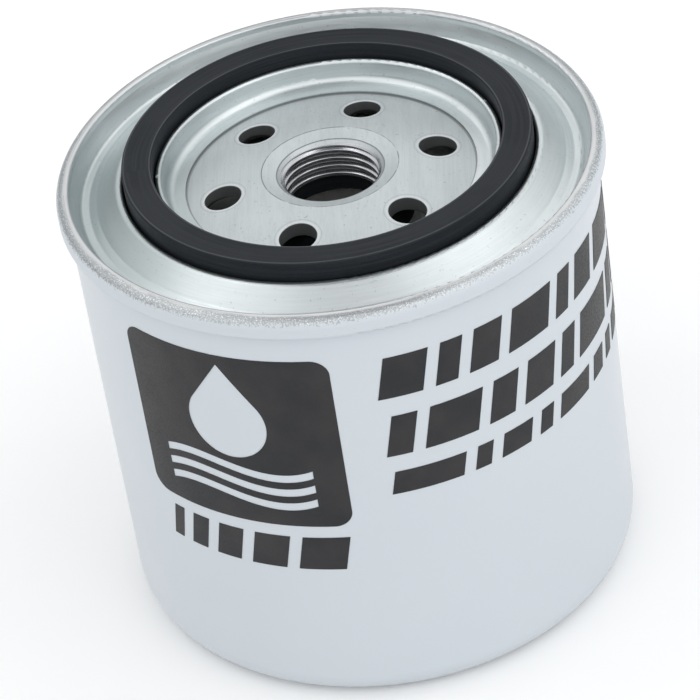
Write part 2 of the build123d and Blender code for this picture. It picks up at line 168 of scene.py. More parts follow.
class Effects:
    """Shader node groups that several finishes share, each built once."""

    def __init__(self) -> None:
        """Builds the groups."""
        self.turned_place = self._turned_place()
        self.marks = self._marks()
        self.mottle = self._mottle()
        self.speckle = self._speckle()
        self.port_rings = self._port_rings()
        self.scribed_ring = self._scribed_ring()

    def use(self, tree: Tree, group: Tree, **inputs: Level) -> Sockets:
        """Places a group in a material with values or sockets for its inputs, and gives its outputs by name."""
        node = place(tree, "ShaderNodeGroup", inputs, node_tree=group)
        return {socket.name: socket for socket in node.outputs}

    @staticmethod
    def _turned_place() -> Tree:
        """Finds a point's place about the can's axis.

        Returns:
            The group, which gives its radius, azimuth and height in millimetres and radians.
        """
        group, _, result = open_group("turned_place", ("Radius", "Azimuth", "Height"))
        coordinates = place(group, "ShaderNodeTexCoord").outputs["Object"]
        split = place(group, "ShaderNodeSeparateXYZ", {0: coordinates})
        across, along, up = split.outputs
        square = maths(group, "ADD", times(group, across, across), times(group, along, along))
        radius = times(group, maths(group, "SQRT", square), 1 / MM)
        group.links.new(radius, result.inputs["Radius"])
        group.links.new(maths(group, "ARCTAN2", along, across), result.inputs["Azimuth"])
        group.links.new(times(group, up, 1 / MM), result.inputs["Height"])
        return group

    @staticmethod
    def _marks() -> Tree:
        """Makes long fine streaks, as drawing or turning leaves them, along the second axis of a vector.

        Returns:
            The group, whose pitch and length are in the vector's own unit.
        """
        group, given, result = open_group("marks", ("Streak", "Fine"), ("Vector",), Pitch=1.0, Length=10.0)
        split = place(group, "ShaderNodeSeparateXYZ", {0: given.outputs["Vector"]})
        across = maths(group, "DIVIDE", split.outputs[0], given.outputs["Pitch"])
        along = maths(group, "DIVIDE", split.outputs[1], given.outputs["Length"])
        level = maths(group, "DIVIDE", split.outputs[2], given.outputs["Pitch"])
        streak = place(group, "ShaderNodeCombineXYZ", {0: across, 1: along, 2: level}).outputs[0]
        for label, scale, detail in (("Streak", 1.0, 4.0), ("Fine", 4.0, 2.0)):
            noise = place(group, "ShaderNodeTexNoise", {"Vector": streak, "Scale": scale, "Detail": detail})
            group.links.new(noise.outputs["Fac"], result.inputs[label])
        return group

    @staticmethod
    def _mottle() -> Tree:
        """Makes soft clouds between nought and one.

        Returns:
            The group, whose clouds are about as wide as the given size in millimetres.
        """
        group, given, result = open_group("mottle", ("Cloud",), Size=10.0)
        coordinates = place(group, "ShaderNodeTexCoord").outputs["Object"]
        scale = maths(group, "DIVIDE", 1 / MM, given.outputs["Size"])
        noise = place(group, "ShaderNodeTexNoise", {"Vector": coordinates, "Scale": scale, "Detail": 3.0})
        group.links.new(ramp(group, noise.outputs["Fac"], 0.3, 0.7), result.inputs["Cloud"])
        return group

    @staticmethod
    def _speckle() -> Tree:
        """Makes small hard-edged specks.

        Returns:
            The group, whose specks cover about the given share of the surface.
        """
        group, given, result = open_group("speckle", ("Speck",), Size=0.3, Cover=0.3)
        coordinates = place(group, "ShaderNodeTexCoord").outputs["Object"]
        scale = maths(group, "DIVIDE", 1 / MM, given.outputs["Size"])
        noise = place(group, "ShaderNodeTexNoise", {"Vector": coordinates, "Scale": scale, "Detail": 2.0})
        highest, reach, soft = 0.72, 0.44, 0.05
        limit = maths(group, "SUBTRACT", highest, times(group, given.outputs["Cover"], reach))
        low, high = maths(group, "SUBTRACT", limit, soft), maths(group, "ADD", limit, soft)
        group.links.new(ramp(group, noise.outputs["Fac"], low, high), result.inputs["Speck"])
        return group

    @staticmethod
    def _port_rings() -> Tree:
        """Measures how far a point is from the nearest inlet port's centre.

        Returns:
            The group, which gives the distance in millimetres.
        """
        inputs = {"Radius": 0.0, "Azimuth": 0.0, "Circle": 1.0, "Phase": 0.0, "Step": 1.0}
        group, given, result = open_group("port_rings", ("Distance",), **inputs)
        half_step = maths(group, "DIVIDE", given.outputs["Step"], 2.0)
        turned = maths(group, "SUBTRACT", given.outputs["Azimuth"], given.outputs["Phase"])
        wrapped = maths(group, "FLOORED_MODULO", maths(group, "ADD", turned, half_step), given.outputs["Step"])
        swing = maths(group, "SUBTRACT", wrapped, half_step)
        ahead = times(group, given.outputs["Radius"], maths(group, "COSINE", swing))
        reach = maths(group, "SUBTRACT", ahead, given.outputs["Circle"])
        aside = times(group, given.outputs["Radius"], maths(group, "SINE", swing))
        square = maths(group, "ADD", times(group, reach, reach), times(group, aside, aside))
        group.links.new(maths(group, "SQRT", square), result.inputs["Distance"])
        return group

    @staticmethod
    def _scribed_ring() -> Tree:
        """Draws a fine line round the axis.

        Returns:
            The group, whose line is whole at no breaks and patchier as they rise to one.
        """
        inputs = {"Radius": 0.0, "Azimuth": 0.0, "Circle": 10.0, "Width": 0.1, "Breaks": 0.0}
        group, given, result = open_group("scribed_ring", ("Line",), **inputs)
        across, along = (maths(group, part, given.outputs["Azimuth"]) for part in ("COSINE", "SINE"))
        walk = place(group, "ShaderNodeCombineXYZ", {0: across, 1: along, 2: given.outputs["Circle"]}).outputs[0]
        noise = place(group, "ShaderNodeTexNoise", {"Vector": walk, "Scale": 3.2, "Detail": 5.0}).outputs["Fac"]
        drift = times(group, maths(group, "SUBTRACT", noise, 0.5), given.outputs["Width"])
        off = maths(group, "SUBTRACT", maths(group, "ADD", given.outputs["Radius"], drift), given.outputs["Circle"])
        off = maths(group, "DIVIDE", maths(group, "ABSOLUTE", off), given.outputs["Width"])
        line = ramp(group, off, 0.3, 1.0, 1.0, 0.0)
        lowest, reach, soft = 0.2, 0.38, 0.08
        limit = maths(group, "ADD", lowest, times(group, given.outputs["Breaks"], reach))
        kept = ramp(group, noise, maths(group, "SUBTRACT", limit, soft), maths(group, "ADD", limit, soft))
        group.links.new(times(group, line, kept), result.inputs["Line"])
        return group


@dataclass
class Coat:
    """A new material with its shader, ready to be wired."""

    material: bpy.types.Material
    tree: Tree
    shader: bpy.types.Node

    @classmethod
    def new(cls, name: str, **settings) -> "Coat":
        """Starts a material.

        Args:
            name: The material's name.
            **settings: Values for the shader's own sockets, with spaces written as underscores.

        Returns:
            The material with its tree and shader.
        """
        material = bpy.data.materials.new(name)
        material.use_nodes = True
        tree = material.node_tree
        shader = tree.nodes["Principled BSDF"]
        for key, value in settings.items():
            shader.inputs[key.replace("_", " ")].default_value = value
        return cls(material, tree, shader)

    def wire(self, **sockets: Socket) -> None:
        """Wires varying values into the shader, by its sockets' names with underscores for spaces."""
        for key, socket in sockets.items():
            self.tree.links.new(socket, self.shader.inputs[key.replace("_", " ")])

    def relief(self, height: Level, depth: float, strength: float) -> None:
        """Raises the surface by a height from nought to one, to a depth in millimetres."""
        bump = place(self.tree, "ShaderNodeBump", {"Height": height, "Distance": depth * MM, "Strength": strength})
        self.wire(Normal=bump.outputs["Normal"])


def brushed_vector(tree: Tree, effects: Effects, lay: Lay, swing: float = 0.0) -> Socket:
    """Gives a vector in millimetres whose second part runs along the marks.

    Args:
        tree: The material's tree.
        effects: The shared groups.
        lay: The way that the marks run.
        swing: The azimuth of straight marks, in radians.

    Returns:
        The vector's socket.
    """
    if lay is Lay.ROUND:
        turned = effects.use(tree, effects.turned_place)
        along = times(tree, turned["Azimuth"], turned["Radius"])
        parts = {0: turned["Radius"], 1: along, 2: turned["Height"]}
        return place(tree, "ShaderNodeCombineXYZ", parts).outputs[0]
    coordinates = place(tree, "ShaderNodeTexCoord").outputs["Object"]
    inputs = {"Vector": coordinates, "Rotation": (0, 0, math.pi / 2 - swing), "Scale": (1 / MM,) * 3}
    return place(tree, "ShaderNodeMapping", inputs).outputs[0]


def turned_marks(tree: Tree, effects: Effects, pitch: float, length: float) -> Sockets:
    """Gives the streaks that turning or drawing leaves round the axis, by their size in millimetres."""
    lay = brushed_vector(tree, effects, Lay.ROUND)
    return effects.use(tree, effects.marks, Vector=lay, Pitch=pitch, Length=length)


@dataclass(frozen=True)
class CanEnamel:
    """Gloss white enamel on the drawn can, with the faint relief of sprayed paint."""

    colour: Colour = (0.600, 0.650, 0.695)
    shade: Colour = (0.565, 0.618, 0.668)
    cloud_share: float = 0.22
    speck_share: float = 0.10
    roughness: Span = (0.34, 0.41)

    def build(self, effects: Effects) -> bpy.types.Material:
        """Builds the material.

        Args:
            effects: The shared groups.

        Returns:
            The enamel.
        """
        coat = Coat.new("can_enamel", Coat_Weight=0.25, Coat_Roughness=0.18)
        tree = coat.tree
        cloud = effects.use(tree, effects.mottle, Size=26.0)["Cloud"]
        grain = effects.use(tree, effects.mottle, Size=0.9)["Cloud"]
        speck = effects.use(tree, effects.speckle, Size=0.5, Cover=0.05)["Speck"]
        colour = tint(tree, cloud, self.cloud_share, self.colour, self.shade)
        colour = tint(tree, speck, self.speck_share, colour, self.shade)
        coat.wire(Base_Color=colour, Roughness=ramp(tree, cloud, 0.0, 1.0, *self.roughness))
        coat.relief(grain, depth=0.012, strength=0.35)
        return coat.material


@dataclass(frozen=True)
class PrintInk:
    """Charcoal ink, printed a little unevenly."""

    colour: Colour = (0.011, 0.012, 0.014)
    thin: Colour = (0.024, 0.023, 0.025)
    roughness: Span = (0.37, 0.50)

    def build(self, effects: Effects) -> bpy.types.Material:
        """Builds the material.

        Args:
            effects: The shared groups.

        Returns:
            The ink.
        """
        coat = Coat.new("print_ink", Specular_IOR_Level=0.34)
        tree = coat.tree
        cloud = effects.use(tree, effects.mottle, Size=9.0)["Cloud"]
        grain = effects.use(tree, effects.mottle, Size=0.35)["Cloud"]
        coat.wire(
            Base_Color=blend(tree, cloud, self.colour, self.thin),
            Roughness=ramp(tree, grain, 0.0, 1.0, *self.roughness),
        )
        coat.relief(grain, depth=0.006, strength=0.3)
        return coat.material


@dataclass(frozen=True)
class Scribe:
    """A fine line round the can's axis: its radius and width in millimetres, its breaks and its strength."""

    circle: float
    width: float
    breaks: float
    share: float

    def line(self, tree: Tree, effects: Effects, placed: Sockets) -> Socket:
        """Gives the line's mask for a point whose radius and azimuth are given by name."""
        shape = {"Circle": self.circle, "Width": self.width, "Breaks": self.breaks}
        return effects.use(tree, effects.scribed_ring, **placed, **shape)["Line"]


@dataclass(frozen=True)
class LidFinish:
    """Zinc plated lid whose seam is painted outside, with a chafed band of overspray along its top.

    Lengths are in millimetres. A share says how strongly one layer covers the one beneath.
    """

    zinc: Colour = (0.665, 0.71, 0.72)
    zinc_dull: Colour = (0.555, 0.605, 0.615)
    rubbed: Colour = (0.645, 0.655, 0.665)
    chafed: Colour = (0.37, 0.40, 0.415)
    pit: Colour = (0.20, 0.21, 0.215)
    # Painted shade for the crevice at the flange's edge.
    edge: Colour = (0.24, 0.25, 0.25)
    glint: Colour = (0.93, 0.95, 0.97)
    # Painted shade: a darker zinc laid over one side of the lid, towards the left.
    painted_side_shade: Colour = (0.43, 0.485, 0.49)
    enamel: CanEnamel = CanEnamel()
    # Where and how strongly the painted side shade darkens the zinc.
    side_shade_azimuth: float = math.radians(190.0)
    side_shade_span: Span = (0.74, 0.94)
    side_shade_share: float = 0.75
    drawn_share: float = 0.30
    cloud_share: float = 0.25
    pit_share: float = 0.35
    crown_start: float = 44.75
    crown_blur: float = 0.2
    score_span: Span = (0.56, 0.66)
    score_share: float = 0.45
    chafed_start: float = 45.65
    chafed_span: Span = (-0.1, 0.4)
    chafed_drift: float = 0.35
    chafed_least: float = 0.40
    chafed_more: float = 0.55
    glint_share: float = 0.8
    overspray_top: float = 83.62
    overspray_foot: float = 81.95
    heavy_spray_azimuth: float = math.radians(-25.0)
    heavy_spray_span: Span = (0.1, 0.8)
    heavy_spray_rise: float = 0.38
    flange_edge: float = 25.12
    flange_edge_blur: float = 0.04
    flange_shade_top: float = 79.45
    flange_shade_blur: float = 0.15
    flange_shade_share: float = 0.7
    roughness: Span = (0.30, 0.42)
    chafed_roughness: float = 0.08
    mark_relief: float = 0.25
    film_relief: float = 0.5

    def build(self, effects: Effects) -> bpy.types.Material:
        """Builds the material.

        Args:
            effects: The shared groups.

        Returns:
            The lid's finish, from plating to paint.
        """
        coat = Coat.new("lid_finish")
        tree = coat.tree
        turned = effects.use(tree, effects.turned_place)
        marks = turned_marks(tree, effects, pitch=0.35, length=16.0)
        cloud = effects.use(tree, effects.mottle, Size=7.0)["Cloud"]
        ragged = maths(tree, "ADD", turned["Radius"], times(tree, cloud, self.chafed_drift))
        near, far = self.chafed_span
        outside = ramp(tree, ragged, self.chafed_start + near, self.chafed_start + far)
        painted = self._overspray(tree, effects, turned, outside)

        metal = self._plating(tree, effects, turned["Azimuth"], marks["Streak"], cloud)
        metal = self._seam(tree, effects, turned["Radius"], outside, metal)
        # Painted shade: the flange's edge wall, inward of its edge and below its top, is darkened as the crevice's
        # shade.
        edge, top = self.flange_edge, self.flange_shade_top
        inward = ramp(tree, turned["Radius"], edge, edge + self.flange_edge_blur, 1.0, 0.0)
        below = ramp(tree, turned["Height"], top, top + self.flange_shade_blur, 1.0, 0.0)
        crevice_shade = times(tree, inward, below)
        metal = tint(tree, crevice_shade, self.flange_shade_share, metal, self.edge)
        rough = ramp(tree, marks["Fine"], *FINE_SPAN, *self.roughness)
        coat.wire(
            Base_Color=blend(tree, painted, metal, self.enamel.colour),
            Metallic=maths(tree, "SUBTRACT", 1.0, painted),
            Roughness=maths(tree, "ADD", rough, times(tree, outside, self.chafed_roughness)),
        )
        fine = times(tree, marks["Fine"], self.mark_relief)
        film = times(tree, painted, self.film_relief)
        coat.relief(maths(tree, "ADD", fine, film), depth=0.03, strength=0.38)
        return coat.material

    def _overspray(self, tree: Tree, effects: Effects, turned: Sockets, outside: Socket) -> Socket:
        """Breaks the seam's paint into specks from its side up to its crest.

        Args:
            tree: The material's tree.
            effects: The shared groups.
            turned: The point's place about the axis.
            outside: The mask of the seam's outer side.

        Returns:
            The paint's mask.
        """
        sheltered = maths(tree, "COSINE", maths(tree, "SUBTRACT", turned["Azimuth"], self.heavy_spray_azimuth))
        lift = times(tree, ramp(tree, sheltered, *self.heavy_spray_span), self.heavy_spray_rise)
        sprayed = maths(tree, "SUBTRACT", turned["Height"], lift)
        cover = ramp(tree, sprayed, self.overspray_foot, self.overspray_top, 1.0, 0.0)
        cover = times(tree, cover, outside)
        return times(tree, effects.use(tree, effects.speckle, Size=0.34, Cover=cover)["Speck"], outside)

    def _plating(self, tree: Tree, effects: Effects, azimuth: Socket, streak: Socket, cloud: Socket) -> Socket:
        """Streaks the drawn zinc, paints shade over one side of it, and gives it a few pits.

        Args:
            tree: The material's tree.
            effects: The shared groups.
            azimuth: The point's azimuth.
            streak: The drawing marks.
            cloud: The soft clouds.

        Returns:
            The zinc's colour.
        """
        dulled = times(tree, ramp(tree, streak, *STREAK_SPAN), self.drawn_share)
        dulled = maths(tree, "ADD", dulled, times(tree, cloud, self.cloud_share))
        zinc = blend(tree, dulled, self.zinc, self.zinc_dull)
        # Painted shade: darker zinc on the side that faces the shade's azimuth.
        facing = maths(tree, "COSINE", maths(tree, "SUBTRACT", azimuth, self.side_shade_azimuth))
        zinc = tint(tree, ramp(tree, facing, *self.side_shade_span), self.side_shade_share, zinc, self.painted_side_shade)
        pits = effects.use(tree, effects.speckle, Size=0.55, Cover=0.04)["Speck"]
        return tint(tree, pits, self.pit_share, zinc, self.pit)

    def _seam(self, tree: Tree, effects: Effects, radius: Socket, outside: Socket, zinc: Socket) -> Socket:
        """Lays the seam's rubbed and scored crest over the zinc, then its chafed and glinting outer side.

        Args:
            tree: The material's tree.
            effects: The shared groups.
            radius: The point's radius.
            outside: The mask of the seam's outer side.
            zinc: The zinc's colour.

        Returns:
            The worn metal's colour.
        """
        crown = ramp(tree, radius, self.crown_start - self.crown_blur, self.crown_start + self.crown_blur)
        zinc = blend(tree, crown, zinc, self.rubbed)
        scores = ramp(tree, turned_marks(tree, effects, pitch=0.11, length=24.0)["Streak"], *self.score_span)
        scores = times(tree, scores, crown)
        zinc = tint(tree, scores, self.score_share, zinc, self.pit)
        grain = effects.use(tree, effects.speckle, Size=0.17, Cover=0.55)["Speck"]
        glint = effects.use(tree, effects.speckle, Size=0.21, Cover=0.24)["Speck"]
        worn = maths(tree, "ADD", self.chafed_least, times(tree, grain, self.chafed_more))
        metal = blend(tree, times(tree, outside, worn), zinc, self.chafed)
        return tint(tree, times(tree, outside, glint), self.glint_share, metal, self.glint)


@dataclass(frozen=True)
class PlateFinish:
    """Dull zinc on the base plate, with the rolled strip's straight streaks and coined rings.

    Lengths are in millimetres. Each ring and wall round a port is given by its distance from the port's centre.
    """

    zinc: Colour = (0.558, 0.600, 0.612)
    dull: Colour = (0.470, 0.514, 0.526)
    # Dark for scratches, flecks and scribed lines, and also for the painted shade in the crevice and along the
    # coined grooves.
    scratch_and_shade: Colour = (0.13, 0.14, 0.145)
    # Colour of the painted highlight along each port's rim.
    bright: Colour = (0.84, 0.865, 0.875)
    # Painted shade on the ports' walls, darker still towards their lower part.
    wall_shade: Colour = (0.16, 0.165, 0.168)
    deep_wall_shade: Colour = (0.035, 0.036, 0.038)
    metallic: float = 0.55
    swing: float = math.radians(84.6)
    port_circle: float = 18.95
    port_phase: float = math.radians(8.0)
    port_step: float = math.tau / 6
    port_wall: float = 3.22
    port_wall_blur: float = 0.04
    # A painted highlight in a light ring along each port's rim.
    port_rim: float = 3.45
    rim_highlight_span: Span = (0.08, 0.28)
    rim_highlight_share: float = 0.28
    # A coined groove round each port, darkened with painted shade.
    coined_ring: float = 3.98
    coined_span: Span = (0.02, 0.17)
    coined_shade_share: float = 0.22
    # Heights over which the painted wall shade deepens.
    deep_wall_shade_span: Span = (77.5, 78.0)
    scribed: tuple[Scribe, ...] = (Scribe(9.27, 0.16, 0.0, 0.8), Scribe(11.8, 0.13, 0.62, 0.85))
    # Where the painted crevice shade starts, how softly it comes in and how strong it is.
    crown_edge: float = 24.68
    crown_edge_blur: float = 0.1
    crevice_shade_share: float = 0.6
    fine_span: Span = (0.42, 0.62)
    broad_span: Span = (0.40, 0.66)
    streak_share: float = 0.30
    cloud_share: float = 0.22
    fleck_share: float = 0.5
    roughness: Span = (0.36, 0.46)
    streak_relief: float = 0.4

    def build(self, effects: Effects) -> bpy.types.Material:
        """Builds the material.

        Args:
            effects: The shared groups.

        Returns:
            The plate's finish.
        """
        coat = Coat.new("plate_finish", Metallic=self.metallic)
        tree = coat.tree
        turned = effects.use(tree, effects.turned_place)
        straight = brushed_vector(tree, effects, Lay.STRAIGHT, self.swing)
        rolled = effects.use(tree, effects.marks, Vector=straight, Pitch=0.28, Length=22.0)
        placed = {"Radius": turned["Radius"], "Azimuth": turned["Azimuth"]}
        ports = {"Circle": self.port_circle, "Phase": self.port_phase, "Step": self.port_step}
        reach = effects.use(tree, effects.port_rings, **placed, **ports)["Distance"]
        coined = self._ring(tree, reach, self.coined_ring, self.coined_span)

        colour = self._strip(tree, effects, rolled["Streak"], straight)
        # Painted shade along each coined groove; the groove's own relief is laid below.
        colour = tint(tree, coined, self.coined_shade_share, colour, self.scratch_and_shade)
        # Painted highlight: a light ring along each port's rim.
        rim = self._ring(tree, reach, self.port_rim, self.rim_highlight_span)
        colour = tint(tree, rim, self.rim_highlight_share, colour, self.bright)
        # Painted shade on each port's wall, darkest on its lower part.
        wall = ramp(tree, reach, self.port_wall, self.port_wall + self.port_wall_blur, 1.0, 0.0)
        deep_wall_shade = ramp(tree, turned["Height"], *self.deep_wall_shade_span, 1.0, 0.0)
        colour = blend(tree, wall, colour, blend(tree, deep_wall_shade, self.wall_shade, self.deep_wall_shade))
        for scribe in self.scribed:
            colour = tint(tree, scribe.line(tree, effects, placed), scribe.share, colour, self.scratch_and_shade)
        # Painted shade: the plate darkens from the crown's edge outward, in the crevice under the lid's flange.
        crevice_shade = ramp(tree, turned["Radius"], self.crown_edge, self.crown_edge + self.crown_edge_blur)
        colour = tint(tree, crevice_shade, self.crevice_shade_share, colour, self.scratch_and_shade)
        coat.wire(Base_Color=colour, Roughness=ramp(tree, rolled["Fine"], *FINE_SPAN, *self.roughness))
        raised = times(tree, rolled["Streak"], self.streak_relief)
        coat.relief(maths(tree, "SUBTRACT", raised, coined), depth=0.03, strength=0.45)
        return coat.material

    def _strip(self, tree: Tree, effects: Effects, streak: Socket, straight: Socket) -> Socket:
        """Streaks the rolled strip's zinc, finely and broadly, with clouds and a few flecks.

        Args:
            tree: The material's tree.
            effects: The shared groups.
            streak: The fine rolling marks.
            straight: The vector that the marks run along.

        Returns:
            The strip's colour.
        """
        broad = effects.use(tree, effects.marks, Vector=straight, Pitch=1.6, Length=40.0)["Streak"]
        cloud = effects.use(tree, effects.mottle, Size=6.0)["Cloud"]
        fleck = effects.use(tree, effects.speckle, Size=0.5, Cover=0.02)["Speck"]
        streaks = maths(tree, "ADD", ramp(tree, streak, *self.fine_span), ramp(tree, broad, *self.broad_span))
        dulled = times(tree, streaks, self.streak_share)
        dulled = maths(tree, "ADD", dulled, times(tree, cloud, self.cloud_share))
        return tint(tree, fleck, self.fleck_share, blend(tree, dulled, self.zinc, self.dull), self.scratch_and_shade)

    @staticmethod
    def _ring(tree: Tree, reach: Socket, ring: float, span: Span) -> Socket:
        """Gives the mask of a ring round each port, which fades over the span on both sides of its line."""
        off = maths(tree, "ABSOLUTE", maths(tree, "SUBTRACT", reach, ring))
        return ramp(tree, off, *span, 1.0, 0.0)


@dataclass(frozen=True)
class MouldedRubber:
    """Black nitrile rubber with a satin skin, with painted highlights as paler lines along its edges."""

    name: str
    colour: Colour = (0.0125, 0.0155, 0.0190)
    bloom: Colour = (0.026, 0.029, 0.035)
    # Colour of the painted highlights along the edges.
    rubbed: Colour = (0.075, 0.080, 0.088)
    edges: tuple[Scribe, ...] = ()
    roughness: Span = (0.40, 0.54)
    bloom_span: Span = (0.4, 0.7)
    bloom_least: float = 0.25
    bloom_share: float = 0.6
    grain_relief: float = 0.3

    def build(self, effects: Effects) -> bpy.types.Material:
        """Builds the material.

        Args:
            effects: The shared groups.

        Returns:
            The rubber.
        """
        coat = Coat.new(self.name, Specular_IOR_Level=0.17)
        tree = coat.tree
        streak = turned_marks(tree, effects, pitch=0.5, length=30.0)["Streak"]
        cloud = effects.use(tree, effects.mottle, Size=12.0)["Cloud"]
        patches = maths(tree, "ADD", cloud, self.bloom_least)
        bloom = times(tree, ramp(tree, streak, *self.bloom_span), patches)
        colour = tint(tree, bloom, self.bloom_share, self.colour, self.bloom)
        turned = effects.use(tree, effects.turned_place)
        placed = {"Radius": turned["Radius"], "Azimuth": turned["Azimuth"]}
        # Painted highlights: paler lines along the given edges.
        for edge in self.edges:
            colour = tint(tree, edge.line(tree, effects, placed), edge.share, colour, self.rubbed)
        coat.wire(Base_Color=colour, Roughness=ramp(tree, cloud, 0.0, 1.0, *self.roughness))
        grain = effects.use(tree, effects.mottle, Size=0.22)["Cloud"]
        grain = times(tree, grain, self.grain_relief)
        turnings = turned_marks(tree, effects, pitch=0.16, length=40.0)["Streak"]
        coat.relief(maths(tree, "ADD", grain, turnings), depth=0.05, strength=0.6)
        return coat.material


@dataclass(frozen=True)
class CutSteel:
    """Bright cut steel of the stud thread."""

    colour: Colour = (0.54, 0.55, 0.575)
    dark: Colour = (0.24, 0.245, 0.255)
    dark_share: float = 0.5
    roughness: Span = (0.17, 0.25)

    def build(self, effects: Effects) -> bpy.types.Material:
        """Builds the material.

        Args:
            effects: The shared groups.

        Returns:
            The steel.
        """
        coat = Coat.new("cut_steel", Metallic=0.93)
        tree = coat.tree
        marks = turned_marks(tree, effects, pitch=0.18, length=9.0)
        streak = ramp(tree, marks["Streak"], *STREAK_SPAN)
        coat.wire(
            Base_Color=tint(tree, streak, self.dark_share, self.colour, self.dark),
            Roughness=ramp(tree, marks["Fine"], *FINE_SPAN, *self.roughness),
        )
        coat.relief(marks["Fine"], depth=0.01, strength=0.4)
        return coat.material


@dataclass(frozen=True)
class SheetSteel:
    """Plain sheet or strip steel inside the can."""

    name: str
    colour: Colour
    dull: Colour
    metallic: float
    roughness: Span
    dull_share: float = 0.4

    def build(self, effects: Effects) -> bpy.types.Material:
        """Builds the material.

        Args:
            effects: The shared groups.

        Returns:
            The sheet's finish.
        """
        coat = Coat.new(self.name, Metallic=self.metallic)
        tree = coat.tree
        marks = turned_marks(tree, effects, pitch=0.4, length=12.0)
        cloud = effects.use(tree, effects.mottle, Size=8.0)["Cloud"]
        uneven = maths(tree, "ADD", marks["Streak"], cloud)
        coat.wire(
            Base_Color=tint(tree, uneven, self.dull_share, self.colour, self.dull),
            Roughness=ramp(tree, marks["Fine"], *FINE_SPAN, *self.roughness),
        )
        coat.relief(marks["Fine"], depth=0.012, strength=0.4)
        return coat.material


@dataclass(frozen=True)
class Mottled:
    """A dull non-metal whose two shades lie in soft patches of one or more sizes, in millimetres."""

    name: str
    colour: Colour
    shade: Colour
    sizes: tuple[float, ...]
    share: float
    roughness: float
    depth: float

    def build(self, effects: Effects) -> bpy.types.Material:
        """Builds the material.

        Args:
            effects: The shared groups.

        Returns:
            The material, with a relief that follows its first patches.
        """
        coat = Coat.new(self.name, Roughness=self.roughness)
        clouds = [effects.use(coat.tree, effects.mottle, Size=size)["Cloud"] for size in self.sizes]
        uneven = clouds[0]
        for cloud in clouds[1:]:
            uneven = maths(coat.tree, "ADD", uneven, cloud)
        coat.wire(Base_Color=tint(coat.tree, uneven, self.share, self.colour, self.shade))
        coat.relief(clouds[0], depth=self.depth, strength=0.5)
        return coat.material


def link_mesh(name: str, corners: Sequence, faces: Sequence, sharp: float = math.radians(40)) -> bpy.types.Object:
    """Makes an object with smooth faces that break at sharp edges.

    Args:
        name: The object's name.
        corners: Its vertices, in metres.
        faces: Its faces, as lists of vertex numbers.
        sharp: The angle from which an edge is sharp, in radians.

    Returns:
        The new object.
    """
    mesh = bpy.data.meshes.new(name)
    mesh.from_pydata(list(corners), [], list(faces))
    mesh.validate()
    mesh.shade_smooth()
    mesh.set_sharp_from_angle(angle=sharp)
    piece = bpy.data.objects.new(name, mesh)
    bpy.context.scene.collection.objects.link(piece)
    return piece


def weld(piece: bpy.types.Object, sharp: float, reach: float = 0.002) -> None:
    """Joins a mesh's doubled points and marks its sharp edges anew.

    Args:
        piece: The piece to mend.
        sharp: The least angle between two faces that makes their edge sharp.
        reach: How near two points must be, in millimetres.
    """
    shape = bmesh.new()
    shape.from_mesh(piece.data)
    bmesh.ops.remove_doubles(shape, verts=shape.verts, dist=reach * MM)
    bmesh.ops.dissolve_degenerate(shape, edges=shape.edges, dist=reach * MM)
    shape.to_mesh(piece.data)
    shape.free()
    piece.data.set_sharp_from_angle(angle=sharp)


def revolve(name: str, outline: Profile, steps: int) -> bpy.types.Object:
    """Turns a closed outline about the can's axis.

    Args:
        name: The object's name.
        outline: Radius and height of each point in millimetres, anticlockwise.
        steps: The number of steps in a turn.

    Returns:
        The turned object.
    """
    count = len(outline)
    turns = [math.tau * step / steps for step in range(steps)]
    corners = [
        (radius * math.cos(turn) * MM, radius * math.sin(turn) * MM, height * MM)
        for turn in turns
        for radius, height in outline
    ]
    faces = []
    for step in range(steps):
        here, there = step * count, (step + 1) % steps * count
        for point in range(count):
            after = (point + 1) % count
            faces.append((here + point, there + point, there + after, here + after))
    return link_mesh(name, corners, faces)


def arc(centre: tuple[float, float], radius: float, start: float, end: float, steps: int) -> Profile:
    """Gives the points along an arc between two angles in degrees, cut into some steps."""
    angles = [math.radians(start + (end - start) * step / steps) for step in range(steps + 1)]
    return [(centre[0] + radius * math.cos(angle), centre[1] + radius * math.sin(angle)) for angle in angles]


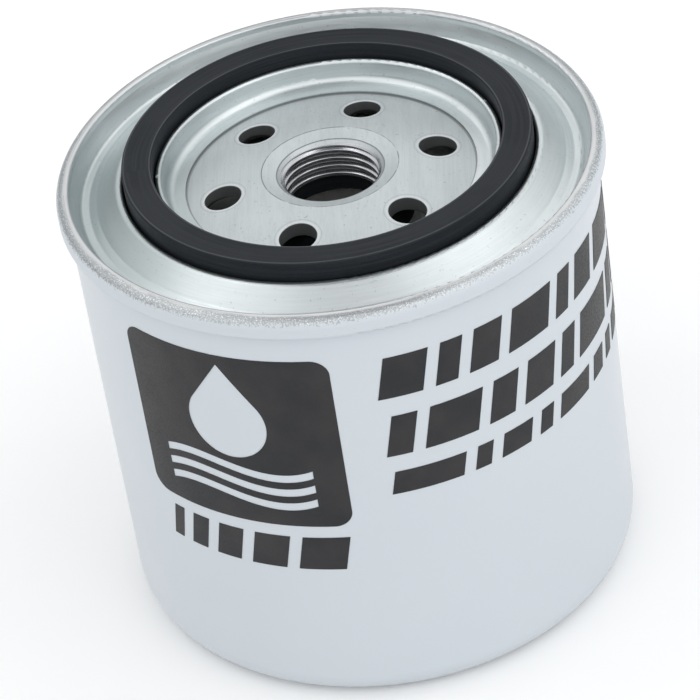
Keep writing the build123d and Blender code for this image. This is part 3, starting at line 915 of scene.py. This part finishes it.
@dataclass
class StudThread:
    """The unified thread in the base plate's collar: a helical ridge on the bore's wall, cut off by the countersink.

    Lengths are in millimetres.
    """

    bore_radius: float = 8.73
    crest_radius: float = 8.06
    pitch: float = 1.5875
    foot: float = 73.5
    top: float = 79.93
    start: float = math.radians(201.8)
    crest_width: float = 0.62
    root_width: float = 1.39
    crest_round: float = 0.05
    support: float = 0.04
    embed: float = 0.04
    steps: int = 144
    sharp: float = math.radians(35)

    def section(self) -> Profile:
        """Gives the ridge's section about its own middle.

        Returns:
            Radius and height of each point, from the lower root over the crest to the upper root.
        """
        bore, crest, small = self.bore_radius, self.crest_radius, self.crest_round
        half, shoulder = self.root_width / 2, self.crest_width / 2
        slope = (half - shoulder) / (bore - crest)
        turn_in, turn_out = crest + 1.5 * small, crest + 0.45 * small
        flank = [bore, bore - self.support, turn_in + self.support, turn_in]
        lower = [(bore + self.embed, -half)] + [(radius, (crest - radius) * slope - shoulder) for radius in flank]
        lower += [(turn_out, -shoulder), (crest, small - shoulder)]
        lower += [(crest, small - shoulder + self.support)]
        return lower + [(radius, -height) for radius, height in reversed(lower)]

    def build(self) -> bpy.types.Object:
        """Builds the ridge between the collar's foot and the countersink's cone.

        Returns:
            The ridge, which runs out to nothing at both ends.
        """
        section = self.section()
        half = self.root_width / 2
        slant = (self.root_width - self.crest_width) / 2 / (self.bore_radius - self.crest_radius)
        cone = self.top - self.bore_radius
        count = round((self.top - self.foot + self.root_width) / self.pitch * self.steps)
        corners, faces = [], []
        for step in range(count + 1):
            turn = step / self.steps
            level = self.foot - half + turn * self.pitch
            under_cone = (level - half + slant * self.bore_radius - cone) / (1 + slant)
            over_foot = self.bore_radius - (level + half - self.foot) / slant
            limit = min(max(under_cone, over_foot, self.crest_radius), self.bore_radius)
            angle = self.start + math.tau * turn
            for radius, height in section:
                radius = max(radius, limit)
                height = min(max(level + height, self.foot), radius + cone)
                corners.append((radius * math.cos(angle) * MM, radius * math.sin(angle) * MM, height * MM))
        size = len(section)
        for step in range(count):
            here, there = step * size, (step + 1) * size
            for point in range(size):
                after = (point + 1) % size
                faces.append((here + point, here + after, there + after, there + point))
        faces += [tuple(reversed(range(size))), tuple(range(count * size, (count + 1) * size))]
        ridge = link_mesh("stud_thread_turns", corners, faces)
        weld(ridge, self.sharp)
        return ridge


@dataclass
class GasketRing:
    """The moulded gasket, with its flat top, softened edges and fine parting line.

    Lengths are in millimetres.
    """

    inner: float = 30.0
    width: float = 5.1
    outer_round: float = 0.3
    inner_round: float = 0.25
    base_round: float = 0.7
    parting_inset: float = 0.16
    parting_half: float = 0.06
    parting_foot: float = 0.14
    parting_rise: float = 0.04
    steps: int = 240

    def build(self) -> bpy.types.Object:
        """Builds the ring in its CAD node's place.

        Returns:
            The ring.
        """
        low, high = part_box("gasket")
        foot, top = low.z / MM, high.z / MM
        outer = self.inner + self.width
        edge = outer - self.outer_round
        line, half = edge - self.parting_inset, self.parting_half
        crown = top - self.parting_rise
        outline = (
            arc((self.inner + self.base_round, foot + self.base_round), self.base_round, 180, 270, 4)
            + arc((outer - self.base_round, foot + self.base_round), self.base_round, 270, 360, 4)
            + arc((edge, crown - self.outer_round), self.outer_round, 0, 84, 8)
            + [(line + half, top), (line - half, top), (line - self.parting_foot, crown)]
            + arc((self.inner + self.inner_round, crown - self.inner_round), self.inner_round, 90, 180, 7)
        )
        return revolve("gasket_ring", outline, self.steps)


@dataclass
class LeafSpring:
    """The leaf spring under the element."""

    node: str = "element_spring"
    joint: str = "element_float"
    travel: float = 2.0 * MM
    foot: float = 2.4 * MM
    sharp: float = math.radians(35)

    def build(self) -> bpy.types.Object:
        """Builds the spring from its solid's own mesh.

        Returns:
            The spring at rest.
        """
        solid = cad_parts[self.node]
        points = [tuple(solid.matrix_world @ vertex.co) for vertex in solid.data.vertices]
        spring = link_mesh("leaf_spring", points, [tuple(face.vertices) for face in solid.data.polygons])
        weld(spring, self.sharp)
        return spring

    def shorten(self, spring: bpy.types.Object) -> None:
        """Gives the spring its own copy of its mesh.

        Args:
            spring: The finished spring on its body.
        """
        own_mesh(spring)


@dataclass
class Canister:
    """The can with its lid, gasket, base plate, thread and print."""

    effects: Effects

    def dress(self) -> None:
        """Gives the can's own nodes their finishes."""
        enamel = CanEnamel().build(self.effects)
        ink = PrintInk().build(self.effects)
        finishes = {
            "can": enamel,
            "seaming_lid": LidFinish().build(self.effects),
            "base_plate": PlateFinish().build(self.effects),
            "emblem_print": ink,
            "tally_print": ink,
            "stripe_print": ink,
        }
        coat_nodes(finishes)

    def spring_strip(self) -> bpy.types.Material:
        """Gives the oiled strip of the leaf spring."""
        strip = SheetSteel("spring_strip", (0.34, 0.35, 0.36), (0.24, 0.25, 0.26), 1.0, (0.33, 0.45))
        return strip.build(self.effects)

    def add_pieces(self) -> None:
        """Adds the thread's turns, the moulded gasket and the leaf spring."""
        thread = StudThread().build()
        mount(thread, Body.CANISTER, CutSteel().build(self.effects))

        ring = GasketRing().build()
        # Painted highlights along the gasket top's inner and outer edges.
        edges = tuple(Scribe(radius, 0.16, 0.35, 0.7) for radius in (30.3, 34.75))
        mount(ring, Body.CANISTER, MouldedRubber("gasket_rubber", edges=edges).build(self.effects))
        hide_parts("gasket")

        leaf = LeafSpring()
        spring = leaf.build()
        mount(spring, Body.CANISTER, self.spring_strip())
        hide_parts("element_spring")
        leaf.shorten(spring)


@dataclass
class Element:
    """The pleated element inside the can."""

    effects: Effects

    def dress(self) -> None:
        """Gives the element's nodes their finishes."""
        plated = SheetSteel("cap_zinc", (0.72, 0.74, 0.74), (0.60, 0.62, 0.62), 0.10, (0.45, 0.57))
        tinned = SheetSteel("tinned_steel", (0.76, 0.77, 0.76), (0.64, 0.65, 0.64), 0.30, (0.40, 0.52))
        plastisol = Mottled("potting_compound", (0.62, 0.59, 0.50), (0.48, 0.45, 0.37), (5.0,), 1.0, 0.55, 0.08)
        paper = Mottled("filter_paper", (0.72, 0.63, 0.42), (0.56, 0.47, 0.29), (0.5, 9.0), 0.4, 0.85, 0.05)
        cap, strip, potting = (finish.build(self.effects) for finish in (plated, tinned, plastisol))
        finishes = {
            "element_seal": MouldedRubber("seal_rubber", roughness=(0.44, 0.58)).build(self.effects),
            "upper_end_cap": cap,
            "lower_end_cap": cap,
            "upper_potting": potting,
            "lower_potting": potting,
            "pleated_paper": paper.build(self.effects),
            "pleat_clip": strip,
            "centre_tube": strip,
        }
        coat_nodes(finishes)


def coat_nodes(finishes: dict[str, bpy.types.Material]) -> None:
    """Puts finishes on the CAD's nodes.

    Args:
        finishes: The material for all slots of each node, by the node's name.
    """
    for node, finish in finishes.items():
        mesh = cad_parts[node].data
        for index in range(len(mesh.materials)):
            mesh.materials[index] = finish
        if not mesh.materials:
            mesh.materials.append(finish)
        log.info("node %s wears %s", node, finish.name)


def mount(piece: bpy.types.Object, body: Body, finish: bpy.types.Material) -> None:
    """Puts a new piece on its body with its finish.

    Args:
        piece: The new piece.
        body: The body that carries it.
        finish: Its material.
    """
    piece.data.materials.append(finish)
    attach(piece, body.value)
    log.info("piece %s: %d faces on %s", piece.name, len(piece.data.polygons), body.value)


@dataclass(frozen=True)
class Softbox:
    """One lamp: where it stands and its width and height in metres, its power in watts and its colour."""

    name: str
    stand: tuple[float, float, float]
    size: tuple[float, float]
    power: float
    colour: Colour = (1.0, 1.0, 1.0)


@dataclass
class Studio:
    """A white studio floor in a soft bright room, seen through the photograph's camera.

    Lengths are in metres, the lens and sensor in millimetres. The spans are parts of a unit direction.
    """

    eye: tuple[float, float, float] = (0.0, -0.50627, 0.42377)
    right: tuple[float, float, float] = (0.98749, -0.09297, -0.12737)
    up: tuple[float, float, float] = (0.15767, 0.59510, 0.78803)
    lens: float = 184.55
    sensor: float = 36.0
    floor_half: float = 4.0
    floor_lit: Colour = (0.80, 0.80, 0.80)
    floor_seen: Colour = (1.0, 1.0, 1.0)
    overhead: Colour = (1.22, 1.22, 1.22)
    front: Colour = (1.04, 1.05, 1.06)
    back: Colour = (0.36, 0.38, 0.39)
    gap: Colour = (0.20, 0.20, 0.21)
    depth_span: Span = (-0.7, 0.7)
    overhead_span: Span = (0.02, 0.75)
    gap_sides: Span = (0.24, 0.36)
    gap_heights: Span = (0.90, 0.95)
    side: float = 0.21
    aim: tuple[float, float, float] = (0.0, 0.0, 0.08)
    softboxes: tuple[Softbox, ...] = (
        Softbox("key_softbox", (0.80, -0.60, 0.70), (1.0, 1.0), 1.3, (1.0, 0.98, 0.96)),
        Softbox("fill_softbox", (-0.70, -0.60, 0.70), (0.8, 0.8), 0.2, (0.96, 0.98, 1.0)),
        Softbox("right_strip", (0.42, 0.04, 1.0), (0.12, 0.5), 0.30),
        Softbox("left_strip", (-0.50, 0.08, 1.0), (0.12, 0.5), 0.36),
    )

    def floor(self) -> None:
        """Lays the pale floor under the can."""
        half = self.floor_half
        corners = [(-half, -half, 0), (half, -half, 0), (half, half, 0), (-half, half, 0)]
        floor = link_mesh("studio_floor", corners, [(0, 1, 2, 3)])
        coat = Coat.new("studio_paper", Roughness=0.9, Specular_IOR_Level=0.2)
        rays = place(coat.tree, "ShaderNodeLightPath").outputs
        seen = maths(coat.tree, "MAXIMUM", rays["Is Camera Ray"], rays["Is Glossy Ray"])
        seen = maths(coat.tree, "MAXIMUM", seen, rays["Is Transmission Ray"])
        coat.wire(Base_Color=blend(coat.tree, seen, self.floor_lit, self.floor_seen))
        floor.data.materials.append(coat.material)

    def lights(self) -> None:
        """Hangs the soft key and fill, and the two strips overhead."""
        for softbox in self.softboxes:
            lamp = bpy.data.lights.new(softbox.name, "AREA")
            lamp.shape = "RECTANGLE"
            lamp.size, lamp.size_y = softbox.size
            lamp.energy = softbox.power
            lamp.color = softbox.colour
            holder = bpy.data.objects.new(softbox.name, lamp)
            holder.location = softbox.stand
            aim = Vector(self.aim) - Vector(softbox.stand)
            holder.rotation_euler = aim.to_track_quat("-Z", "Y").to_euler()
            bpy.context.scene.collection.objects.link(holder)

    def room(self) -> None:
        """Makes the room a soft box of light, dimmer behind and to the left, with a gap in its ceiling's panels."""
        world = bpy.data.worlds.new("studio_room")
        bpy.context.scene.world = world
        world.use_nodes = True
        tree = world.node_tree
        direction = place(tree, "ShaderNodeTexCoord").outputs["Generated"]
        across, along, height = place(tree, "ShaderNodeSeparateXYZ", {0: direction}).outputs
        horizon = blend(tree, ramp(tree, along, *self.depth_span), self.front, self.back)
        sides = maths(tree, "ADD", 1.0, times(tree, across, self.side))
        horizon = place(tree, "ShaderNodeVectorMath", {0: horizon, 3: sides}, operation="SCALE").outputs[0]
        light = blend(tree, ramp(tree, height, *self.overhead_span), horizon, self.overhead)
        inside = ramp(tree, maths(tree, "ABSOLUTE", across), *self.gap_sides, 1.0, 0.0)
        inside = times(tree, inside, ramp(tree, height, *self.gap_heights))
        light = blend(tree, inside, light, self.gap)
        tree.links.new(light, tree.nodes["Background"].inputs["Color"])

    def camera(self) -> None:
        """Sets the camera where the photograph was taken from."""
        right, up = Vector(self.right).normalized(), Vector(self.up).normalized()
        lens = bpy.data.cameras.new("photo_camera")
        lens.sensor_width = self.sensor
        lens.lens = self.lens
        lens.clip_start = 0.01
        holder = bpy.data.objects.new("photo_camera", lens)
        turn = Matrix((right, up, right.cross(up))).transposed().to_4x4()
        holder.matrix_world = Matrix.Translation(Vector(self.eye)) @ turn
        bpy.context.scene.collection.objects.link(holder)
        bpy.context.scene.camera = holder

    def build(self) -> None:
        """Builds the whole studio."""
        self.floor()
        self.lights()
        self.room()
        self.camera()
        bpy.context.scene.view_settings.view_transform = "Standard"


def main() -> None:
    """Builds every part of the scene."""
    logging.basicConfig(level=logging.INFO, format="%(message)s")
    effects = Effects()
    canister = Canister(effects)
    canister.dress()
    canister.add_pieces()
    Element(effects).dress()
    Studio().build()


if __name__ == "__main__":
    main()
